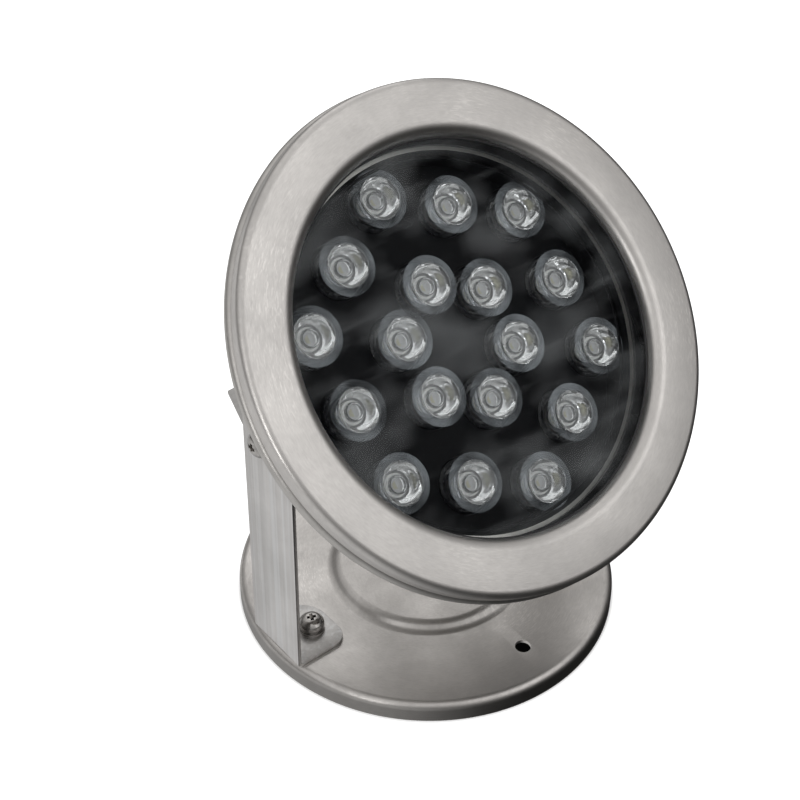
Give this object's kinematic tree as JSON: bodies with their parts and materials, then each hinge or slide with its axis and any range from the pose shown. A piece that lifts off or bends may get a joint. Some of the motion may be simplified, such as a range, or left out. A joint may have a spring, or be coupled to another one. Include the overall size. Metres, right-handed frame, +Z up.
{
  "type": "underwater pond light",
  "caption": "Round stainless-steel underwater pond light with LED lenses behind glass, tilting between two upright arms on a round pressed base",
  "frame": {"origin": "centre of the base's underside, on the surface it stands on", "axes": "+Z up; the lamp faces -Y and tilts about X; left arm at -X, right arm at +X"},
  "size_m": [0.18, 0.1609, 0.1996],
  "materials": {
    "stainless": "satin brushed",
    "strip": "mill rolled",
    "housing": "drawn, satin",
    "fastener": "bright stainless",
    "seal": "silicone",
    "glass": "clear toughened",
    "black_plastic": "matt black",
    "black_gloss": "gloss black",
    "clear_plastic": "clear moulded",
    "white_plastic": "white",
    "phosphor": "yellow phosphor",
    "board_black": "black solder mask",
    "aluminium": "machined",
    "brass": "turned",
    "board_green": "green solder mask",
    "ferrite": "ferrite with copper winding",
    "capacitor": "sleeved can",
    "terminal_green": "moulded",
    "red_wire": "silicone insulation",
    "black_wire": "silicone insulation",
    "gland_metal": "nickel-plated brass"
  },
  "bodies": {
    "stand": {"base_plate": "stainless", "left_arm": "strip", "right_arm": "strip", "foot_screws": "fastener", "foot_flat_washers": "fastener", "foot_spring_washers": "fastener", "foot_nuts": "fastener", "pivot_screws": "fastener", "pivot_flat_washers": "fastener", "pivot_spring_washers": "fastener", "pivot_inner_washers": "fastener", "pivot_locknuts": "fastener"},
    "head": {"bezel_ring": "stainless", "housing_rim": "housing", "housing_cup": "housing", "left_lug": "strip", "right_lug": "strip", "bezel_studs": "fastener", "rim_spring_washers": "fastener", "rim_nuts": "fastener", "front_gasket": "seal", "window_glass": "glass", "rear_gasket": "seal", "mask_plate": "black_plastic", "lens_holders": "black_gloss", "lenses": "clear_plastic", "led_packages": "white_plastic", "led_domes": "clear_plastic", "led_chips": "phosphor", "led_board": "board_black", "heat_spreader": "aluminium", "board_screws": "fastener", "driver_posts": "brass", "driver_board": "board_green", "driver_screws": "fastener", "driver_coils": "ferrite", "driver_capacitors": "capacitor", "driver_chips": "black_plastic", "terminal_block": "terminal_green", "red_lead": "red_wire", "black_lead": "black_wire", "gland_body": "gland_metal", "gland_oring": "seal", "gland_seal": "seal", "gland_nut": "gland_metal", "gland_locknut": "gland_metal"}
  },
  "joints": [
    {"name": "head_tilt", "type": "hinge", "parent": "stand", "child": "head", "pos_m": [0, 0, 0.1078], "axis": [-1, 0, 0], "range_deg": [-43.8, 136.2]}
  ]
}
